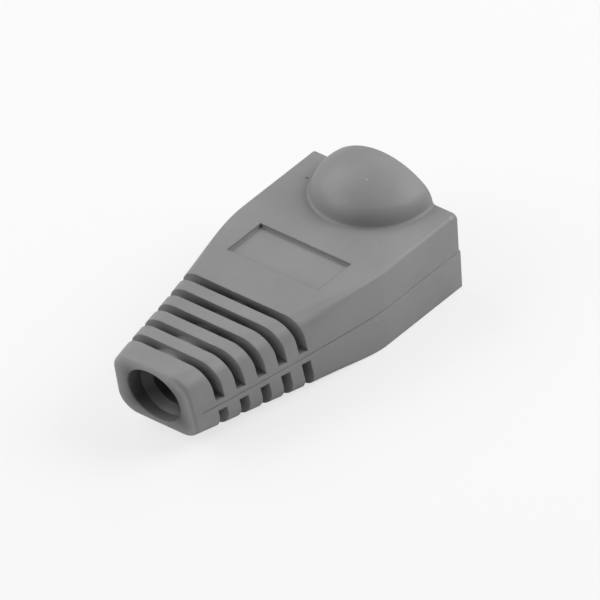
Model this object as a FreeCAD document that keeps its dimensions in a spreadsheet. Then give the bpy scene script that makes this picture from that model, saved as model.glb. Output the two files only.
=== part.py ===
import FreeCAD, Part
import Sketcher
import math
import os

# Strain relief boot for a modular network plug, one soft moulding.
# The mouth that takes the plug is at +X, the cable leaves the nose at -X,
# +Z is the side with the latch hood, and the flat base rests at Z = 0.
# All sketches are drawn from the mouth plane at X = 0, towards -X.

document = FreeCAD.newDocument("strain_relief_boot")
sizes = document.addObject("Spreadsheet::Sheet", "sizes")
next_row = 1


def size(name, value):
    """Writes one named value into the sheet: a number, or a formula of other values."""
    global next_row
    sizes.set(f"A{next_row}", name)
    sizes.set(f"B{next_row}", str(value))
    sizes.setAlias(f"B{next_row}", name)
    next_row += 1


# Driving dimensions, in mm
straight_length = 10.15  # parallel-sided length behind the mouth
nose_reach = 30.7  # mouth plane to the nose face, along the cable axis
trim_spare = 1.5  # length drawn beyond the nose face, which is trimmed away
side_bow = 0.22  # how far the tapered sides bulge beyond a straight line
top_fall = 0.05  # how far the top has fallen at the nose
lip = 0.2  # how far the lower half stands out at the mouth
shoulder_reach = 0.6  # length over which the shoulder bends, on each side
mouth_round = 0.5  # rounding of the upper long edges beside the mouth
base_round = 0.15  # rounding of the lower long edges beside the mouth
label_round = 0.8  # rounding of the long edges midway between the shoulder and the ribs
waist_round = 1.5  # rounding of the long edges just before the ribs
rib_round = 2.0  # rounding of the long edges over the ribs
rib_lean = 10.0  # forward lean of the ribs and the nose face, in degrees
nose_edge_round = 0.38  # rounding of the outer edge of the nose face
nose_rim_round = 0.13  # rounding of the rim of the cable hole

bore_radius = 2.75  # cable hole at the nose
nose_wall = 0.55  # wall above and below the cable hole at the nose face
nose_side_wall = 1.4  # wall on either side of the cable hole at the nose face
throat_radius = 2.1  # narrower throat behind the nose, which grips the cable
nose_bore_length = 1.6  # length of the wide part of the cable hole
flare_length = 0.8  # length of the cone from the wide part to the throat
sleeve_wall = 0.3  # thinnest wall of the tube that the slots leave round the cable
sleeve_nose_radius = 2.95  # outer radius of that tube at the nose

slot_count = 5  # slots on the upper side, and as many below
slot_width = 0.95  # width of one slot along the boot
slot_pitch = 2.22  # distance from one slot to the next
nose_block = 2.4  # solid length between the nose face and the first slot, on the cable axis
spine_height = 1.1  # height of the side spine between upper and lower slots

hood_height = 3.3  # height of the latch hood above the top face
hood_radius = 5.4  # radius of the foot of the latch hood
hood_centre = 1.35  # mouth plane to the middle of the latch hood
hood_edge = 2.2  # rounding with which the side of the hood turns into its top
hood_wall = 0.9  # wall of the latch hood
hood_blend = 0.35  # blend where the hood meets the top face

plug_width = 11.7  # width of the network plug that the mouth takes
plug_height = 6.55  # height of the network plug
plug_play = 0.15  # play between the plug and the cavity, over both sides
side_wall = 1.875  # wall on either side of the plug cavity
roof_wall = 0.5  # wall above and below the plug cavity
cavity_depth = 9.5  # depth of the plug cavity from the mouth plane
cavity_round = 0.5  # rounding of the corners of the plug cavity
plug_stop = 0.3  # shoulder that stops the plug at the end of the cavity
funnel_length = 4.5  # length of the funnel from the cavity to the throat
funnel_margin = 0.1  # how far the small end of the funnel stands outside the throat

label_width = 9.75  # bare label recess, across the boot
label_run = 4.5  # bare label recess, along the boot
label_gap = 3.55  # label recess to the slot nearest the body
label_sink = 0.35  # how deep the label recess lies in the top face

seam_height = 0.14  # height of the parting groove round the sides
seam_sink = 0.08  # depth of the parting groove
seam_clear = 1.0  # distance that the parting groove keeps from the nose face

driving_sizes = {
    "straight_length": straight_length,
    "nose_reach": nose_reach,
    "trim_spare": trim_spare,
    "side_bow": side_bow,
    "top_fall": top_fall,
    "lip": lip,
    "shoulder_reach": shoulder_reach,
    "mouth_round": mouth_round,
    "base_round": base_round,
    "label_round": label_round,
    "waist_round": waist_round,
    "rib_round": rib_round,
    "rib_lean": rib_lean,
    "nose_edge_round": nose_edge_round,
    "nose_rim_round": nose_rim_round,
    "bore_radius": bore_radius,
    "nose_wall": nose_wall,
    "nose_side_wall": nose_side_wall,
    "throat_radius": throat_radius,
    "nose_bore_length": nose_bore_length,
    "flare_length": flare_length,
    "sleeve_wall": sleeve_wall,
    "sleeve_nose_radius": sleeve_nose_radius,
    "slot_count": slot_count,
    "slot_width": slot_width,
    "slot_pitch": slot_pitch,
    "nose_block": nose_block,
    "spine_height": spine_height,
    "hood_height": hood_height,
    "hood_radius": hood_radius,
    "hood_centre": hood_centre,
    "hood_edge": hood_edge,
    "hood_wall": hood_wall,
    "hood_blend": hood_blend,
    "plug_width": plug_width,
    "plug_height": plug_height,
    "plug_play": plug_play,
    "side_wall": side_wall,
    "roof_wall": roof_wall,
    "cavity_depth": cavity_depth,
    "cavity_round": cavity_round,
    "plug_stop": plug_stop,
    "funnel_length": funnel_length,
    "funnel_margin": funnel_margin,
    "label_width": label_width,
    "label_run": label_run,
    "label_gap": label_gap,
    "label_sink": label_sink,
    "seam_height": seam_height,
    "seam_sink": seam_sink,
    "seam_clear": seam_clear,
}
for alias, driving_value in driving_sizes.items():
    size(alias, driving_value)

# Sizes worked out from the driving ones
size("cavity_width", "=plug_width + plug_play")  # width of the plug cavity
size("cavity_height", "=plug_height + plug_play")  # height of the plug cavity
size("mouth_width", "=cavity_width + 2 * side_wall")  # outer width at the mouth
size("mouth_height", "=cavity_height + 2 * roof_wall")  # height of the body, without the hood
size("cavity_top", "=mouth_height - roof_wall")  # roof of the plug cavity
size("nose_width", "=2 * (bore_radius + nose_side_wall)")  # width of the nose face
size("nose_height", "=2 * (bore_radius + nose_wall)")  # height of the nose face
size("base_rise", "=mouth_height - top_fall - nose_height")  # rise of the underside at the nose
size("bore_height", "=base_rise + nose_height / 2")  # height of the cable axis
size("first_slot", "=nose_reach - nose_block")  # nose side of the slot nearest the nose
size("parting", "=mouth_height / 2")  # height of the parting plane
size("last_slot", "=first_slot - slot_pitch * (slot_count - 1)")  # the slot nearest the body
size("label_start", "=last_slot - slot_width - label_gap - label_run")  # its mouth side
size("midway", "=(straight_length + shoulder_reach + last_slot - slot_pitch) / 2")
size("taper_length", "=nose_reach - straight_length")  # length of the tapered part
size("tail_length", "=nose_reach - last_slot")  # length from the last slot to the nose face
size("section_end", "=nose_reach + trim_spare")  # place of the last section, beyond the nose
size("seam_end", "=nose_reach - seam_clear")  # place where the parting groove ends
size("funnel_end", "=cavity_depth + funnel_length")  # place where the funnel meets the throat
size("throat_end", "=nose_reach - nose_bore_length - flare_length")  # nose end of the throat
document.recompute()


def plane_of(body, role):
    """One of the three origin planes of a body."""
    for feature in body.Origin.OriginFeatures:
        if feature.Role == role:
            return feature
    raise ValueError(role)


def sketch_on(body, name, role, offset=None):
    """A new sketch on an origin plane, moved along its normal by an expression."""
    sketch = body.newObject("Sketcher::SketchObject", name)
    sketch.AttachmentSupport = (plane_of(body, role), [""])
    sketch.MapMode = "FlatFace"
    if offset:
        sketch.setExpression("AttachmentOffset.Base.z", offset)
    return sketch


def tie(sketch, name, constraint, expression):
    """Adds a named constraint whose value follows an expression."""
    index = sketch.addConstraint(constraint)
    sketch.renameConstraint(index, name)
    sketch.setExpression(f"Constraints.{name}", expression)


def point(across, up):
    """A place in a sketch."""
    return FreeCAD.Vector(across, up, 0)


def value(expression):
    """The present value of an expression, used to draw a sketch near its final shape."""
    return float(boot.evalExpression(expression))


def rounded_section(body, name, offset, width, height, top, upper_corner, lower_corner):
    """A rounded rectangle across the boot, centred on its mid plane.

    The sizes are expressions; upper and lower corners have a radius each.
    """
    sketch = sketch_on(body, name, "YZ_Plane", offset)
    # Only a first guess; the tied sizes below set the true shape.
    half, low, high, turn = 4.0, 1.0, 7.0, 1.0
    lines = [
        Part.LineSegment(point(-half + turn, low), point(half - turn, low)),
        Part.LineSegment(point(half, low + turn), point(half, high - turn)),
        Part.LineSegment(point(half - turn, high), point(-half + turn, high)),
        Part.LineSegment(point(-half, high - turn), point(-half, low + turn)),
    ]
    centres = [
        point(half - turn, low + turn),
        point(half - turn, high - turn),
        point(-half + turn, high - turn),
        point(-half + turn, low + turn),
    ]
    sketch.addGeometry(lines, False)
    upward = FreeCAD.Vector(0, 0, 1)
    for quarter, centre in enumerate(centres):
        start = (quarter - 1) * math.pi / 2
        circle = Part.Circle(centre, upward, turn)
        sketch.addGeometry(Part.ArcOfCircle(circle, start, start + math.pi / 2), False)
    for side in range(4):
        sketch.addConstraint(Sketcher.Constraint("Tangent", side, 2, 4 + side, 1))
        sketch.addConstraint(Sketcher.Constraint("Tangent", 4 + side, 2, (side + 1) % 4, 1))
    sketch.addConstraint(Sketcher.Constraint("Vertical", 1))
    sketch.addConstraint(Sketcher.Constraint("Horizontal", 2))
    sketch.addConstraint(Sketcher.Constraint("Vertical", 3))
    sketch.addConstraint(Sketcher.Constraint("Equal", 4, 7))
    sketch.addConstraint(Sketcher.Constraint("Equal", 5, 6))
    sketch.addConstraint(Sketcher.Constraint("Symmetric", 0, 1, 0, 2, -2))
    tie(sketch, "width", Sketcher.Constraint("DistanceX", 3, 1, 1, 1, 2 * half), width)
    tie(sketch, "height", Sketcher.Constraint("DistanceY", 0, 2, 2, 1, high - low), height)
    tie(sketch, "top", Sketcher.Constraint("DistanceY", -1, 1, 2, 1, high), top)
    tie(sketch, "lower_corner", Sketcher.Constraint("Radius", 4, turn), lower_corner)
    tie(sketch, "upper_corner", Sketcher.Constraint("Radius", 5, turn), upper_corner)
    return sketch


def box_sketch(sketch, left, low, right, high):
    """A closed rectangle; each edge is an expression measured from the origin."""
    # Only a first guess; the tied edges below set the true shape.
    corners = [point(1, 1), point(3, 1), point(3, 3), point(1, 3)]
    for index in range(4):
        line = Part.LineSegment(corners[index], corners[(index + 1) % 4])
        sketch.addGeometry(line, False)
    for index in range(4):
        following = (index + 1) % 4
        sketch.addConstraint(Sketcher.Constraint("Coincident", index, 2, following, 1))
    for index, kind in enumerate(("Horizontal", "Vertical", "Horizontal", "Vertical")):
        sketch.addConstraint(Sketcher.Constraint(kind, index))
    tie(sketch, "left", Sketcher.Constraint("DistanceX", -1, 1, 0, 1, 1.0), left)
    tie(sketch, "low", Sketcher.Constraint("DistanceY", -1, 1, 0, 1, 1.0), low)
    tie(sketch, "right", Sketcher.Constraint("DistanceX", -1, 1, 1, 2, 3.0), right)
    tie(sketch, "high", Sketcher.Constraint("DistanceY", -1, 1, 1, 2, 3.0), high)


boot = document.addObject("PartDesign::Body", "boot")
boot.Label = "strain_relief_boot"


def pocket_through(name, sketch):
    """Cuts a mid plane outline through the whole width of the boot."""
    feature = boot.newObject("PartDesign::Pocket", name)
    feature.Profile = sketch
    feature.Type = "ThroughAll"
    feature.Midplane = True
    document.recompute()
    return feature


# Outer form
# Beside the mouth the body is a plain rounded block. Behind it a loft runs through
# rounded sections: the width falls with a slight bow, the underside curves up
# towards the nose, the top stays level, and the corners grow rounder.

MOUTH_END = "(-sizes.lip)"
SHOULDER = "(sizes.straight_length - sizes.shoulder_reach)"
TAPER_STATIONS = (
    ("at_shoulder", SHOULDER, "mouth_round", "base_round"),
    (
        "after_shoulder",
        "(sizes.straight_length + sizes.shoulder_reach)",
        "mouth_round",
        "base_round",
    ),
    ("midway", "sizes.midway", "label_round", "label_round"),
    ("at_waist", "(sizes.last_slot - sizes.slot_pitch)", "waist_round", "waist_round"),
    ("at_first_rib", "(sizes.last_slot + sizes.slot_pitch / 2)", "rib_round", "rib_round"),
    ("at_last_rib", "sizes.first_slot", "rib_round", "rib_round"),
    ("beyond_nose", "sizes.section_end", "rib_round", "rib_round"),
)


def form_width(station):
    """The outer width at one distance from the mouth.

    It narrows in proportion to the share of the taper, and bulges by side_bow on each
    side half way, because four times the share times the rest is one there.
    """
    share = f"max(0; ({station} - sizes.straight_length) / sizes.taper_length)"
    narrowing = f"(sizes.mouth_width - sizes.nose_width) * {share}"
    bulge = f"2 * sizes.side_bow * 4 * {share} * (1 - {share})"
    return f"(sizes.mouth_width - {narrowing} + {bulge})"


def form_section(name, station, upper_corner, lower_corner):
    """The outer section of the boot at one distance from the mouth."""
    tail_share = f"max(0; ({station} - sizes.last_slot) / sizes.tail_length)"
    top = f"sizes.mouth_height - sizes.top_fall * {tail_share}"
    rise = f"sizes.base_rise * {tail_share}"
    return rounded_section(
        boot,
        "form_" + name,
        f"-{station}",
        form_width(station),
        f"{top} - {rise}",
        top,
        "sizes." + upper_corner,
        "sizes." + lower_corner,
    )


mouth_section = form_section("at_mouth", MOUTH_END, "mouth_round", "base_round")
mouth_block = boot.newObject("PartDesign::Pad", "mouth_block")
mouth_block.Profile = mouth_section
mouth_block.Reversed = True
mouth_block.setExpression("Length", f"{SHOULDER} + sizes.lip")

taper_sections = [form_section(*station) for station in TAPER_STATIONS]
tapered_form = boot.newObject("PartDesign::AdditiveLoft", "tapered_form")
tapered_form.Profile = taper_sections[0]
tapered_form.Sections = taper_sections[1:]
document.recompute()

# Parting groove: a thin slice is taken out at the parting plane and filled again
# with a core that is a little narrower, so that a fine groove runs along both sides.
# It ends before the rounded edge of the nose.
SEAM_LOW = "sizes.parting - sizes.seam_height / 2"
SEAM_HIGH = "sizes.parting + sizes.seam_height / 2"


def seam_section(name, station):
    """The core of the parting groove at one distance from the mouth."""
    sketch = sketch_on(boot, "seam_" + name, "YZ_Plane", f"-{station}")
    half = f"({form_width(station)} / 2 - sizes.seam_sink)"
    box_sketch(
        sketch,
        f"-{half}",
        f"{SEAM_LOW} - sizes.seam_sink",
        half,
        f"{SEAM_HIGH} + sizes.seam_sink",
    )
    return sketch


seam_slice_sketch = sketch_on(boot, "seam_slice_outline", "XZ_Plane")
box_sketch(seam_slice_sketch, "-sizes.seam_end", SEAM_LOW, "sizes.lip * 2", SEAM_HIGH)
seam_slice = pocket_through("seam_slice", seam_slice_sketch)
seam_mouth_section = seam_section("at_mouth", MOUTH_END)
seam_mouth_core = boot.newObject("PartDesign::Pad", "seam_mouth_core")
seam_mouth_core.Profile = seam_mouth_section
seam_mouth_core.Reversed = True
seam_mouth_core.setExpression("Length", f"{SHOULDER} + sizes.lip")
document.recompute()
seam_sections = [seam_section(name, station) for name, station, *corners in TAPER_STATIONS]
seam_core = boot.newObject("PartDesign::AdditiveLoft", "seam_core")
seam_core.Profile = seam_sections[0]
seam_core.Sections = seam_sections[1:]
document.recompute()


def names_of(feature, wanted):
    """The names, in the shape of one feature, of the edges in a list."""
    names = []
    for number, edge in enumerate(feature.Shape.Edges, 1):
        if any(edge.isSame(other) for other in wanted):
            names.append(f"Edge{number}")
    return names


def nose_face(feature):
    """The flat face that looks out at the nose."""
    flat = [face for face in feature.Shape.Faces if face.Surface.TypeId == "Part::GeomPlane"]
    return min(flat, key=lambda face: face.CenterOfMass.x)


def round_edges(name, feature, wanted, radius):
    """Rounds the listed edges of a feature."""
    fillet = boot.newObject("PartDesign::Fillet", name)
    fillet.Base = (feature, names_of(feature, wanted))
    fillet.setExpression("Radius", radius)
    document.recompute()
    return fillet


# Latch hood: a dome turned about an upright axis just behind the mouth. Its side
# rises straight from the top face, and one rounding leads over to the flatter top.


def dome(kind, name, low, thinner):
    """The dome of the hood, or the smaller one of its hollow; low is where it starts."""
    radius = "(sizes.hood_radius" + thinner + ")"
    height = "(sizes.hood_height" + thinner + ")"
    edge = "(sizes.hood_edge" + thinner + ")"
    sketch = sketch_on(boot, name + "_outline", "XZ_Plane")
    axis = -value("sizes.hood_centre")
    foot, rise, turn = value(radius), value(height), value(edge)
    floor = value(low)
    top = value("sizes.mouth_height")
    side_centre = foot - turn
    crown = (rise * rise + side_centre * side_centre - turn * turn) / (2 * (rise - turn))
    lean = math.atan2(crown - rise, side_centre)
    upward = FreeCAD.Vector(0, 0, 1)
    side_arc = Part.Circle(point(axis + side_centre, top), upward, turn)
    crown_arc = Part.Circle(point(axis, top + rise - crown), upward, crown)
    outline = [
        Part.LineSegment(point(axis, floor), point(axis + foot, floor)),
        Part.LineSegment(point(axis + foot, floor), point(axis + foot, top)),
        Part.ArcOfCircle(side_arc, 0, lean),
        Part.ArcOfCircle(crown_arc, lean, math.pi / 2),
        Part.LineSegment(point(axis, top + rise), point(axis, floor)),
    ]
    sketch.addGeometry(outline, False)
    sketch.addConstraint(Sketcher.Constraint("Coincident", 0, 2, 1, 1))
    sketch.addConstraint(Sketcher.Constraint("Tangent", 1, 2, 2, 1))
    sketch.addConstraint(Sketcher.Constraint("Tangent", 2, 2, 3, 1))
    sketch.addConstraint(Sketcher.Constraint("Coincident", 3, 2, 4, 1))
    sketch.addConstraint(Sketcher.Constraint("Coincident", 4, 2, 0, 1))
    sketch.addConstraint(Sketcher.Constraint("Horizontal", 0))
    sketch.addConstraint(Sketcher.Constraint("Vertical", 1))
    sketch.addConstraint(Sketcher.Constraint("Vertical", 4))
    sketch.addConstraint(Sketcher.Constraint("PointOnObject", 3, 3, 4))
    centre = Sketcher.Constraint("DistanceX", 0, 1, -1, 1, -axis)
    tie(sketch, "centre", centre, "sizes.hood_centre")
    tie(sketch, "radius", Sketcher.Constraint("DistanceX", 0, 1, 0, 2, foot), radius)
    tie(sketch, "edge", Sketcher.Constraint("Radius", 2, turn), edge)
    tie(sketch, "low", Sketcher.Constraint("DistanceY", -1, 1, 0, 1, floor), low)
    foot_level = Sketcher.Constraint("DistanceY", -1, 1, 2, 1, top)
    tie(sketch, "foot_level", foot_level, "sizes.mouth_height")
    apex = Sketcher.Constraint("DistanceY", -1, 1, 3, 2, top + rise)
    tie(sketch, "apex", apex, "sizes.mouth_height + " + height)
    feature = boot.newObject("PartDesign::" + kind, name)
    feature.Profile = sketch
    feature.ReferenceAxis = (sketch, ["Edge5"])
    feature.Angle = 360
    document.recompute()
    return feature


hood = dome("Revolution", "hood", "sizes.cavity_top", "")
hood_foot = []
for edge in hood.Shape.Edges:
    box = edge.BoundBox
    level = box.ZLength < 0.001 and abs(box.ZMin - value("sizes.mouth_height")) < 0.001
    round_foot = abs(box.XMin + value("sizes.hood_centre + sizes.hood_radius")) < 0.01
    if level and round_foot:
        hood_foot.append(edge)
hood_base = round_edges("hood_base", hood, hood_foot, "sizes.hood_blend")

# Mould step: the upper half ends at the mouth plane, the lower half stands out.
upper_trim_sketch = sketch_on(boot, "upper_trim_outline", "XZ_Plane")
box_sketch(
    upper_trim_sketch,
    "0",
    "sizes.parting",
    "sizes.lip + sizes.hood_radius",
    "sizes.mouth_height * 2",
)
upper_trim = pocket_through("upper_trim", upper_trim_sketch)


def leaning_outline(name, near, far, low, high):
    """A four-sided outline on the mid plane whose two steep edges lean forward.

    near and far are where the steep edges cross the height of the cable axis,
    measured back from the mouth plane; low and high are the level edges.
    """
    sketch = sketch_on(boot, name, "XZ_Plane")
    axis_height = value("sizes.bore_height")
    lean = math.tan(math.radians(value("sizes.rib_lean")))
    corners = []
    for place, level in ((far, low), (near, low), (near, high), (far, high)):
        height = value(level)
        corners.append(point(-value(place) - (height - axis_height) * lean, height))
    for index in range(4):
        line = Part.LineSegment(corners[index], corners[(index + 1) % 4])
        sketch.addGeometry(line, False)
    for index in range(4):
        following = (index + 1) % 4
        sketch.addConstraint(Sketcher.Constraint("Coincident", index, 2, following, 1))
    sketch.addConstraint(Sketcher.Constraint("Horizontal", 0))
    sketch.addConstraint(Sketcher.Constraint("Horizontal", 2))
    sketch.addConstraint(Sketcher.Constraint("Parallel", 1, 3))
    tie(
        sketch,
        "lean",
        Sketcher.Constraint("Angle", 0, 1, 3, 2, math.radians(90 + value("sizes.rib_lean"))),
        "90 + sizes.rib_lean",
    )
    for mark_name, edge, place in (("near", 1, near), ("far", 3, far)):
        mark = sketch.addGeometry(Part.Point(point(-value(place), axis_height)), True)
        sketch.addConstraint(Sketcher.Constraint("PointOnObject", mark, 1, edge))
        across = Sketcher.Constraint("DistanceX", mark, 1, -1, 1, value(place))
        tie(sketch, mark_name, across, place)
        above = Sketcher.Constraint("DistanceY", -1, 1, mark, 1, axis_height)
        tie(sketch, mark_name + "_height", above, "sizes.bore_height")
    tie(sketch, "low", Sketcher.Constraint("DistanceY", -1, 1, 0, 1, value(low)), low)
    tie(sketch, "high", Sketcher.Constraint("DistanceY", -1, 1, 2, 1, value(high)), high)
    return sketch


# Nose face: a plane that leans forward like the ribs.
nose_trim_sketch = leaning_outline(
    "nose_trim_outline",
    "sizes.nose_reach",
    "sizes.section_end + sizes.mouth_height",
    "-sizes.mouth_height",
    "sizes.mouth_height * 2",
)
nose_trim = pocket_through("nose_trim", nose_trim_sketch)
nose_edge = round_edges(
    "nose_edge",
    nose_trim,
    nose_face(nose_trim).OuterWire.Edges,
    "sizes.nose_edge_round",
)

# Rib slots: one upper and one lower cut beside the spine, repeated along the tail.
for side, low, high in (
    ("upper", "sizes.parting + sizes.spine_height / 2", "sizes.mouth_height * 2"),
    ("lower", "-sizes.mouth_height", "sizes.parting - sizes.spine_height / 2"),
):
    slot_sketch = leaning_outline(
        side + "_slot_outline",
        "sizes.first_slot - sizes.slot_width",
        "sizes.first_slot",
        low,
        high,
    )
    slot = pocket_through(side + "_slot", slot_sketch)
    pattern = boot.newObject("PartDesign::LinearPattern", side + "_slots")
    pattern.Originals = [slot]
    pattern.Direction = (slot_sketch, ["H_Axis"])
    pattern.setExpression("Length", "sizes.slot_pitch * (sizes.slot_count - 1)")
    pattern.setExpression("Occurrences", "sizes.slot_count")
    boot.Tip = pattern
    document.recompute()


def turned_outline(name, stations):
    """A half section to be turned about the cable axis.

    stations lists (distance from the mouth, radius) from the nose towards the mouth.
    """
    sketch = sketch_on(boot, name, "XZ_Plane")
    axis = value("sizes.bore_height")
    outline = [point(-value(stations[0][0]), axis)]
    for station, radius in stations:
        outline.append(point(-value(station), axis + value(radius)))
    outline.append(point(-value(stations[-1][0]), axis))
    edges = len(outline)
    for index in range(edges):
        line = Part.LineSegment(outline[index], outline[(index + 1) % edges])
        sketch.addGeometry(line, False)
    for index in range(edges):
        following = (index + 1) % edges
        sketch.addConstraint(Sketcher.Constraint("Coincident", index, 2, following, 1))
    axis_edge = edges - 1
    sketch.addConstraint(Sketcher.Constraint("Horizontal", axis_edge))
    sketch.addConstraint(Sketcher.Constraint("Vertical", 0))
    sketch.addConstraint(Sketcher.Constraint("Vertical", axis_edge - 1))
    tie(sketch, "axis", Sketcher.Constraint("DistanceY", -1, 1, 0, 1, axis), "sizes.bore_height")
    for index, (station, radius) in enumerate(stations):
        place = Sketcher.Constraint("DistanceX", index + 1, 1, -1, 1, value(station))
        tie(sketch, f"station_{index}", place, station)
        outward = Sketcher.Constraint("DistanceY", 0, 1, index + 1, 1, value(radius))
        tie(sketch, f"radius_{index}", outward, radius)
    return sketch, f"Edge{axis_edge + 1}"


def turn(kind, name, stations):
    """Turns a half section about the cable axis, as a solid or as a cut."""
    sketch, axis_edge = turned_outline(name + "_outline", stations)
    feature = boot.newObject("PartDesign::" + kind, name)
    feature.Profile = sketch
    feature.ReferenceAxis = (sketch, [axis_edge])
    feature.Angle = 360
    document.recompute()
    return feature


# Sleeve: the slots stop at a tube round the cable, which grows towards the nose.
sleeve = turn(
    "Revolution",
    "sleeve",
    (
        ("sizes.first_slot + sizes.slot_width", "sizes.sleeve_nose_radius"),
        ("sizes.last_slot - sizes.slot_pitch", "sizes.throat_radius + sizes.sleeve_wall"),
    ),
)

# Plug cavity, with the hollow under the hood for the latch of the plug.
cavity_sketch = rounded_section(
    boot,
    "cavity_outline",
    "sizes.lip",
    "sizes.cavity_width",
    "sizes.cavity_height",
    "sizes.cavity_top",
    "sizes.cavity_round",
    "sizes.cavity_round",
)
cavity = boot.newObject("PartDesign::Pocket", "cavity")
cavity.Profile = cavity_sketch
cavity.setExpression("Length", "sizes.cavity_depth + sizes.lip")
document.recompute()

hood_hollow = dome("Groove", "hood_hollow", "sizes.parting", " - sizes.hood_wall")

# Funnel from the cavity to the throat; its small end stands a little round the throat.


def funnel_section(name, offset, half_width, low, high):
    """A plain rectangle across the boot, one end of the funnel."""
    sketch = sketch_on(boot, name, "YZ_Plane", offset)
    box_sketch(sketch, f"-{half_width}", low, half_width, high)
    return sketch


THROAT_SQUARE = "(sizes.throat_radius + sizes.funnel_margin)"
funnel_sections = [
    funnel_section(
        "funnel_start",
        "-sizes.cavity_depth",
        "(sizes.cavity_width / 2 - sizes.plug_stop)",
        "sizes.roof_wall + sizes.plug_stop",
        "sizes.cavity_top - sizes.plug_stop",
    ),
    funnel_section(
        "funnel_finish",
        "-sizes.funnel_end",
        THROAT_SQUARE,
        f"sizes.bore_height - {THROAT_SQUARE}",
        f"sizes.bore_height + {THROAT_SQUARE}",
    ),
]
funnel = boot.newObject("PartDesign::SubtractiveLoft", "funnel")
funnel.Profile = funnel_sections[0]
funnel.Sections = funnel_sections[1:]
document.recompute()

# Cable passage: wide at the nose, then a cone down to the throat.
passage = turn(
    "Groove",
    "passage",
    (
        ("sizes.section_end", "sizes.bore_radius"),
        ("sizes.nose_reach - sizes.nose_bore_length", "sizes.bore_radius"),
        ("sizes.throat_end", "sizes.throat_radius"),
        ("sizes.funnel_end - sizes.slot_width / 2", "sizes.throat_radius"),
    ),
)

hole = nose_face(passage)
rim_edges = [
    edge
    for wire in hole.Wires
    if not wire.isSame(hole.OuterWire)
    for edge in wire.Edges
]
nose_rim = round_edges("nose_rim", passage, rim_edges, "sizes.nose_rim_round")

# Bare recess for a label on the top face. Its outline is drawn above the face, so that
# the cut leaves no film of material there.
label_sketch = sketch_on(boot, "label_outline", "XY_Plane", "sizes.mouth_height + sizes.label_sink")
box_sketch(
    label_sketch,
    "-sizes.label_start - sizes.label_run",
    "-sizes.label_width / 2",
    "-sizes.label_start",
    "sizes.label_width / 2",
)
label_recess = boot.newObject("PartDesign::Pocket", "label_recess")
label_recess.Profile = label_sketch
label_recess.setExpression("Length", "2 * sizes.label_sink")
document.recompute()

# The origin of the finished boot is the middle of its base.
NOSE_TIP = "(sizes.nose_reach + (sizes.mouth_height - sizes.bore_height) * tan(sizes.rib_lean))"
boot.setExpression("Placement.Base.x", f"({NOSE_TIP} - sizes.lip) / 2")
document.recompute()

for item in document.Objects:
    if "Invalid" in item.State or "Error" in item.State:
        raise RuntimeError(f"{item.Name} did not build: {item.State}")
    if hasattr(item, "Shape") and item.isDerivedFrom("PartDesign::Feature"):
        if item.Shape.isNull() or not item.Shape.isValid():
            raise RuntimeError(f"{item.Name} has no sound shape")
if boot.Shape.isNull() or not boot.Shape.isValid() or len(boot.Shape.Solids) != 1:
    raise RuntimeError("the boot is not one sound solid")
os.makedirs("parts", exist_ok=True)
boot.Shape.exportStep("parts/strain_relief_boot.step")
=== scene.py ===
import math
import bpy
import numpy as np
from mathutils import Matrix


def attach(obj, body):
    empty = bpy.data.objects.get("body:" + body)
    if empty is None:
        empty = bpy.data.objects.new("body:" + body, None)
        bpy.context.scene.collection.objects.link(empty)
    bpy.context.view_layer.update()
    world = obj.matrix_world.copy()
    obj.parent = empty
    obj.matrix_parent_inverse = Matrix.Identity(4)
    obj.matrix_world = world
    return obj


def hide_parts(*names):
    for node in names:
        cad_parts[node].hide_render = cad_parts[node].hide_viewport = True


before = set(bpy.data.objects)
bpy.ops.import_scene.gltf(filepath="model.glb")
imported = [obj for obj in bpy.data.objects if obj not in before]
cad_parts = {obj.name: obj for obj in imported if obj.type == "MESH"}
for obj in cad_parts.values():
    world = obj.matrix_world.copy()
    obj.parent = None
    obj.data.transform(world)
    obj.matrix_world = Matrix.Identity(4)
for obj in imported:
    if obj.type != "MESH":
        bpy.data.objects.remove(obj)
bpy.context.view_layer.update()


# The boot
# One soft moulding of grey PVC, made in a two-part mould: the parting line runs along
# both sides, the hood clears the latch of the plug and the slots let the real tail bend.

MM = 0.001
WELD = 0.001  # mm, points nearer than this are one point
CREASE = math.radians(32)  # faces that meet at more than this keep a crisp edge


def smooth_copy(solid, name, crease):
    """A copy of a solid whose shared points are joined, shaded smooth across curved
    faces and crisp where two faces meet at more than the crease angle."""
    copied = bpy.data.objects.new(name, solid.data.copy())
    bpy.context.scene.collection.objects.link(copied)
    bpy.context.view_layer.objects.active = copied
    bpy.ops.object.select_all(action="DESELECT")
    copied.select_set(True)
    if copied.data.has_custom_normals:
        bpy.ops.mesh.customdata_custom_splitnormals_clear()
    bpy.ops.object.mode_set(mode="EDIT")
    bpy.ops.mesh.select_all(action="SELECT")
    bpy.ops.mesh.remove_doubles(threshold=WELD * MM)
    bpy.ops.object.mode_set(mode="OBJECT")
    bpy.ops.object.shade_smooth_by_angle(angle=crease)
    return copied


boot = smooth_copy(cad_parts["strain_relief_boot"], "boot", CREASE)


# Outer form of the boot, in mm, as its source has it: used to tell how deep a point
# lies in a slot, in the cable hole or in the mouth, for the painted shade there.
MOUTH_PLANE = 15.545
STRAIGHT_LENGTH = 10.15
NOSE_REACH = 30.70
LAST_SLOT = 19.42
MOUTH_WIDTH = 15.60
NOSE_WIDTH = 8.30
SIDE_BOW = 0.22
BODY_HEIGHT = 7.70
TOP_FALL = 0.05
BASE_RISE = 1.05
RIB_ROUND = 2.0
BORE_HEIGHT = 4.35
BORE_RADIUS = 2.75
RIB_LEAN = math.radians(10.0)
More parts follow.
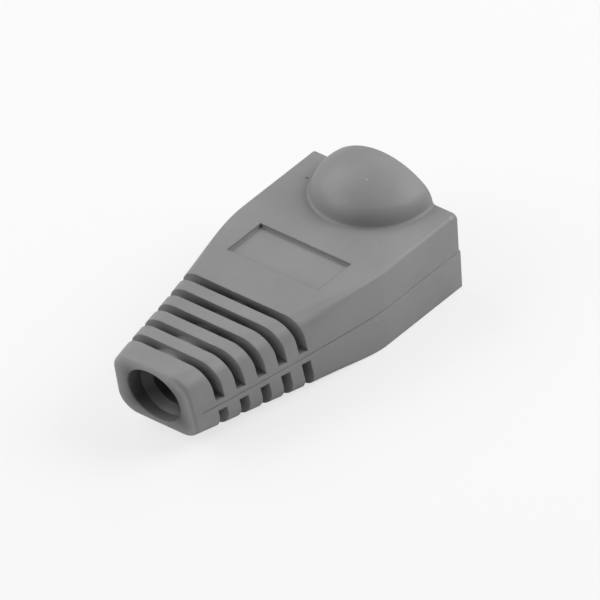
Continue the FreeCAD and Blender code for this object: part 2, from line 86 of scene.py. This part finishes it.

# Where the painted shade inside begins, in mm: the depth or way in at which it begins,
# and the further way over which it grows to full.
SLOT_SHADE = (0.3, 1.5)
HOLE_SHADE = (0.15, 1.6)
MOUTH_SHADE = (0.0, 9.0)
SLOT_REACH = 1.2  # how far the slots' leaning tops reach past the last slot
HOOD_INSIDE = 6.4  # how far the hood's hollow reaches from the cable's axis
CAVITY_SIDE = 5.95
CAVITY_FLOOR = 0.45
MOUTH_WALL = 0.4  # depth below the outer form at which the inside of the mouth starts
MOUTH_END = 1.0  # x at which the mouth's share ends


def depth_inside(points):
    """How deep each point lies, in mm, below the outer form of the ribs.

    A section is a rounded rectangle. With q the distance past its straight edges'
    corner box, the depth is the corner radius less the length of the positive part of
    q, less the greater of q's two parts where both are negative.
    """
    along = MOUTH_PLANE - points[:, 0]
    taper = np.clip((along - STRAIGHT_LENGTH) / (NOSE_REACH - STRAIGHT_LENGTH), 0, None)
    tail = np.clip((along - LAST_SLOT) / (NOSE_REACH - LAST_SLOT), 0, None)
    width = MOUTH_WIDTH - (MOUTH_WIDTH - NOSE_WIDTH) * taper
    width += 8 * SIDE_BOW * taper * (1 - taper)
    top = BODY_HEIGHT - TOP_FALL * tail
    base = BASE_RISE * tail
    across = np.abs(points[:, 1]) - (width / 2 - RIB_ROUND)
    upright = np.abs(points[:, 2] - (top + base) / 2) - ((top - base) / 2 - RIB_ROUND)
    outside = np.hypot(np.maximum(across, 0), np.maximum(upright, 0))
    return RIB_ROUND - outside - np.minimum(np.maximum(across, upright), 0)


def painted_shade(points):
    """How much painted shade each point gets, from 0 outside to 1 deep inside.

    It is the greatest of three shares: the depth in a slot, the way in from the nose
    face along the cable hole, and the way in from the mouth.
    """
    depth = depth_inside(points)
    slots = (depth - SLOT_SHADE[0]) / SLOT_SHADE[1]
    slots *= points[:, 0] < MOUTH_PLANE - LAST_SLOT + SLOT_REACH
    from_axis = np.hypot(points[:, 1], points[:, 2] - BORE_HEIGHT)
    nose_face = MOUTH_PLANE - NOSE_REACH - (points[:, 2] - BORE_HEIGHT) * math.tan(RIB_LEAN)
    hole = (points[:, 0] - nose_face - HOLE_SHADE[0]) / HOLE_SHADE[1]
    hole *= from_axis < BORE_RADIUS + 0.02
    inner = (from_axis < HOOD_INSIDE) & (depth > MOUTH_WALL) & (points[:, 0] > MOUTH_END)
    inner &= (np.abs(points[:, 1]) < CAVITY_SIDE) & (points[:, 2] > CAVITY_FLOOR)
    mouth = (MOUTH_PLANE - points[:, 0] - MOUTH_SHADE[0]) / MOUTH_SHADE[1]
    mouth *= inner
    return np.clip(np.maximum.reduce([slots, hole, mouth]), 0, 1)


# Painted shade: each point gets a share that darkens the slots, the cable hole and the
# inside of the mouth, where shade falls.
points = np.empty(3 * len(boot.data.vertices))
boot.data.vertices.foreach_get("co", points)
painted_shade_layer = boot.data.attributes.new("painted_shade", "FLOAT", "POINT")
painted_shade_layer.data.foreach_set("value", painted_shade(points.reshape(-1, 3) / MM))


class Finish:
    """A node material, built up one node at a time on the piece's own coordinates."""

    def __init__(self, name):
        self.material = bpy.data.materials.new(name)
        self.material.use_nodes = True
        self.nodes = self.material.node_tree.nodes
        self.links = self.material.node_tree.links
        self.shader = self.nodes["Principled BSDF"]
        self.place = self.nodes.new("ShaderNodeTexCoord").outputs["Object"]

    def add(self, kind, settings=None, inputs=None):
        """A node with its settings, and inputs that are numbers or other outputs."""
        node = self.nodes.new("ShaderNode" + kind)
        for key, value in (settings or {}).items():
            setattr(node, key, value)
        for key, value in (inputs or {}).items():
            if isinstance(value, bpy.types.NodeSocket):
                self.links.new(value, node.inputs[key])
            else:
                node.inputs[key].default_value = value
        return node

    def sum_up(self, operation, first, second):
        """Two numbers joined by a sum, a product, the greater of them, and so on."""
        return self.add("Math", {"operation": operation}, {0: first, 1: second}).outputs[0]

    def noise(self, per_mm, detail, roughness=0.5, stretch=(1, 1, 1)):
        """Cloudy noise with so many waves to the millimetre, stretched along the axes."""
        scaled = self.add("Mapping", inputs={"Vector": self.place, "Scale": stretch})
        inputs = {"Vector": scaled.outputs[0], "Scale": per_mm / MM, "Detail": detail}
        inputs["Roughness"] = roughness
        return self.add("TexNoise", inputs=inputs).outputs["Fac"]

    def spread(self, value, low, high, to_low=0.0, to_high=1.0):
        """Stretches the range from low to high over the range between the two results."""
        inputs = {0: value, 1: low, 2: high, 3: to_low, 4: to_high}
        return self.add("MapRange", {"clamp": True}, inputs).outputs[0]

    def mix(self, share, first, second):
        """A colour between two, by a share."""
        node = self.add("Mix", {"data_type": "RGBA"}, {0: share, 6: first, 7: second})
        return node.outputs[2]

    def spot(self, centre_mm, radius_mm):
        """A round spot: one at its centre, falling to zero at its radius."""
        centre = [MM * step for step in centre_mm]
        inputs = {0: self.place, 1: centre}
        away = self.add("VectorMath", {"operation": "DISTANCE"}, inputs).outputs["Value"]
        return self.spread(away, 0.0, radius_mm * MM, 1.0, 0.0)

    def bump(self, height, depth_mm, before=None):
        """Raises the surface by a height of 0 to 1 times a depth."""
        inputs = {"Height": height, "Distance": depth_mm * MM, "Strength": 1.0}
        if before:
            inputs["Normal"] = before
        return self.add("Bump", inputs=inputs).outputs["Normal"]


GREY = (0.285, 0.285, 0.287, 1.0)
GREY_DARKER = (0.268, 0.268, 0.271, 1.0)
GREY_LIGHTER = (0.302, 0.302, 0.304, 1.0)
# Lighter grey of the painted highlight along the edges, which is partly wear.
EDGE_HIGHLIGHT_AND_WEAR_GREY = (0.37, 0.37, 0.372, 1.0)
# Near black painted into the slots, the hole and the mouth as painted shade.
PAINTED_SHADE_GREY = (0.05, 0.05, 0.052, 1.0)
# Near black painted into the pits as painted shade.
PIT_SHADE_GREY = (0.06, 0.06, 0.06, 1.0)
SPECK_GREY = (0.40, 0.40, 0.40, 1.0)
SATIN = 0.46
EDGE_SOFTNESS = 0.12  # mm, how far the moulded edges are rounded off
PITS = [((12.23, 5.62, 7.70), 0.17)]  # places in mm with their radius
SPECKS = [
    ((12.04, -1.14, 10.57), 0.17),
    ((8.57, -4.73, 7.70), 0.15),
    ((4.58, -7.69, 3.42), 0.17),
    ((14.95, -7.60, 7.60), 0.30),
]

pvc = Finish("soft_grey_pvc")
clouds = pvc.noise(0.16, 3.0)
flow = pvc.noise(0.9, 4.0, 0.5, (0.45, 1.0, 1.0))
grain = pvc.noise(9.0, 3.0, 0.6)
tone = pvc.mix(pvc.spread(clouds, 0.35, 0.65), GREY_DARKER, GREY_LIGHTER)
tone = pvc.mix(pvc.spread(flow, 0.4, 0.62, 0.0, 0.35), tone, GREY)

softened = pvc.add("Bevel", {"samples": 8}, {"Radius": EDGE_SOFTNESS * MM}).outputs[0]
true_normal = pvc.add("NewGeometry").outputs["Normal"]
# Painted highlight along the moulded edges, partly wear: lighter where the softened normal
# turns away from the true one, in patches.
turned = pvc.add("VectorMath", {"operation": "DOT_PRODUCT"}, {0: softened, 1: true_normal})
edge_highlight_and_wear = pvc.spread(turned.outputs["Value"], 0.70, 0.98, 1.0, 0.0)
edge_highlight_and_wear = pvc.sum_up("MULTIPLY", edge_highlight_and_wear, pvc.spread(flow, 0.35, 0.65, 0.25, 0.7))
tone = pvc.mix(edge_highlight_and_wear, tone, EDGE_HIGHLIGHT_AND_WEAR_GREY)
# Painted shade: the colour goes towards near black deep in the slots, the hole and the
# mouth.
shaded = pvc.add("Attribute", {"attribute_name": "painted_shade"}).outputs["Fac"]
tone = pvc.mix(pvc.spread(shaded, 0.0, 1.0, 0.0, 0.85), tone, PAINTED_SHADE_GREY)

pits = 0.0
for centre, radius in PITS:
    pits = pvc.sum_up("MAXIMUM", pits, pvc.spot(centre, radius))
specks = 0.0
for centre, radius in SPECKS:
    specks = pvc.sum_up("MAXIMUM", specks, pvc.spot(centre, radius))
# Painted shade in the pits: they go near black.
tone = pvc.mix(pvc.spread(pits, 0.1, 0.6), tone, PIT_SHADE_GREY)
tone = pvc.mix(pvc.spread(specks, 0.1, 0.7, 0.0, 0.8), tone, SPECK_GREY)
pvc.links.new(tone, pvc.shader.inputs["Base Color"])

rough = pvc.spread(grain, 0.3, 0.7, SATIN - 0.04, SATIN + 0.06)
pvc.links.new(rough, pvc.shader.inputs["Roughness"])
relief = pvc.bump(pvc.spread(flow, 0.2, 0.8), 0.015, softened)
relief = pvc.bump(pvc.spread(grain, 0.2, 0.8), 0.005, relief)
relief = pvc.bump(pvc.sum_up("SUBTRACT", specks, pits), 0.05, relief)
pvc.links.new(relief, pvc.shader.inputs["Normal"])

boot.data.materials.clear()
boot.data.materials.append(pvc.material)
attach(boot, "root")
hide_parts("strain_relief_boot")


# The floor
# A plain sheet of white paper that the boot lies on; the camera sees it nearly white,
# and it keeps the soft shadow under the boot.

FLOOR_SIZE = 1.2
FLOOR_GAP = 0.05  # mm, between the underside and the paper
PAPER_WHITE = (0.86, 0.86, 0.86, 1.0)
PAPER_GLOW = 0.72  # share of plain white that the camera sees
PAPER_ROUGHNESS = 0.9

half = FLOOR_SIZE / 2
corners = [(-half, -half, 0), (half, -half, 0), (half, half, 0), (-half, half, 0)]
floor_mesh = bpy.data.meshes.new("floor")
floor_mesh.from_pydata(corners, [], [(0, 1, 2, 3)])
floor = bpy.data.objects.new("floor", floor_mesh)
bpy.context.scene.collection.objects.link(floor)
floor.location.z = -FLOOR_GAP * MM
paper = Finish("floor_paper")
paper.shader.inputs["Base Color"].default_value = PAPER_WHITE
paper.shader.inputs["Roughness"].default_value = PAPER_ROUGHNESS
seen = paper.add("LightPath").outputs["Is Camera Ray"]
white = paper.add("Emission", inputs={"Color": (1, 1, 1, 1), "Strength": 1.0}).outputs[0]
share = paper.sum_up("MULTIPLY", seen, PAPER_GLOW)
blend = paper.add("MixShader", inputs={0: share, 1: paper.shader.outputs[0], 2: white})
paper.links.new(blend.outputs[0], paper.nodes["Material Output"].inputs["Surface"])
floor.data.materials.append(paper.material)


# The white room
# The camera looks into plain white; the boot itself is lit by a dimmer, even glow.

ROOM_GLOW = 0.04

world = bpy.data.worlds.new("white_room")
bpy.context.scene.world = world
world.use_nodes = True
room_nodes = world.node_tree.nodes
room_links = world.node_tree.links
light_path = room_nodes.new("ShaderNodeLightPath")
either = room_nodes.new("ShaderNodeMath")
either.operation = "MAXIMUM"
room_links.new(light_path.outputs["Is Camera Ray"], either.inputs[0])
room_links.new(light_path.outputs["Is Transmission Ray"], either.inputs[1])
mixer = room_nodes.new("ShaderNodeMixShader")
dim = room_nodes["Background"]
dim.inputs["Color"].default_value = (1, 1, 1, 1)
dim.inputs["Strength"].default_value = ROOM_GLOW
bright = room_nodes.new("ShaderNodeBackground")
bright.inputs["Color"].default_value = (1, 1, 1, 1)
bright.inputs["Strength"].default_value = 1.0
room_links.new(either.outputs[0], mixer.inputs[0])
room_links.new(dim.outputs[0], mixer.inputs[1])
room_links.new(bright.outputs[0], mixer.inputs[2])
room_links.new(mixer.outputs[0], room_nodes["World Output"].inputs["Surface"])


# The softboxes
# Square lamps with cloth fronts around the boot, all at about the same height: the
# strongest on the right of the camera, two behind, weak ones at the mouth and the nose.

LAMP_DISTANCE = 0.3
LAMP_SIZE = 0.20


def softbox(name, azimuth, elevation, power):
    """A square lamp that faces the boot from an azimuth and an elevation, in degrees."""
    lamp = bpy.data.lights.new(name, "AREA")
    lamp.size = LAMP_SIZE
    lamp.energy = power
    holder = bpy.data.objects.new(name, lamp)
    bpy.context.scene.collection.objects.link(holder)
    turn, rise = math.radians(azimuth), math.radians(elevation)
    flat = math.cos(rise)
    out = np.array([math.sin(turn) * flat, -math.cos(turn) * flat, math.sin(rise)])
    holder.location = out * LAMP_DISTANCE
    holder.rotation_euler = (math.pi / 2 - rise, 0.0, turn)


softbox("right", 45, 40, 0.60)
softbox("mouth_side", 100, 35, 0.18)
softbox("behind", 180, 40, 0.33)
softbox("left_behind", -130, 35, 0.36)
softbox("nose_side", -85, 35, 0.05)


# The camera
# It stands far off, where the photograph was taken from, with the nose nearest.

CAMERA_AZIMUTH = math.radians(-49.067)
CAMERA_ELEVATION = math.radians(37.255)
CAMERA_ROLL = math.radians(3.285)
CAMERA_AIM = np.array([9.174, 4.520, -2.757]) * MM
CAMERA_DISTANCE = 1671.43 * MM
CAMERA_LENS = 1195.92

back = np.array(
    [
        math.sin(CAMERA_AZIMUTH) * math.cos(CAMERA_ELEVATION),
        -math.cos(CAMERA_AZIMUTH) * math.cos(CAMERA_ELEVATION),
        math.sin(CAMERA_ELEVATION),
    ]
)
level = np.cross(-back, [0.0, 0.0, 1.0])
level /= np.linalg.norm(level)
upward = np.cross(back, level)
across = math.cos(CAMERA_ROLL) * level - math.sin(CAMERA_ROLL) * upward
above = math.sin(CAMERA_ROLL) * level + math.cos(CAMERA_ROLL) * upward
camera = bpy.data.objects.new("camera", bpy.data.cameras.new("camera"))
bpy.context.scene.collection.objects.link(camera)
camera.data.lens = CAMERA_LENS
camera.data.clip_start = 0.01
camera.data.clip_end = 10.0
camera.rotation_mode = "QUATERNION"
camera.rotation_quaternion = Matrix([across, above, back]).transposed().to_quaternion()
camera.location = CAMERA_AIM + back * CAMERA_DISTANCE
bpy.context.scene.camera = camera
bpy.context.scene.view_settings.view_transform = "Standard"
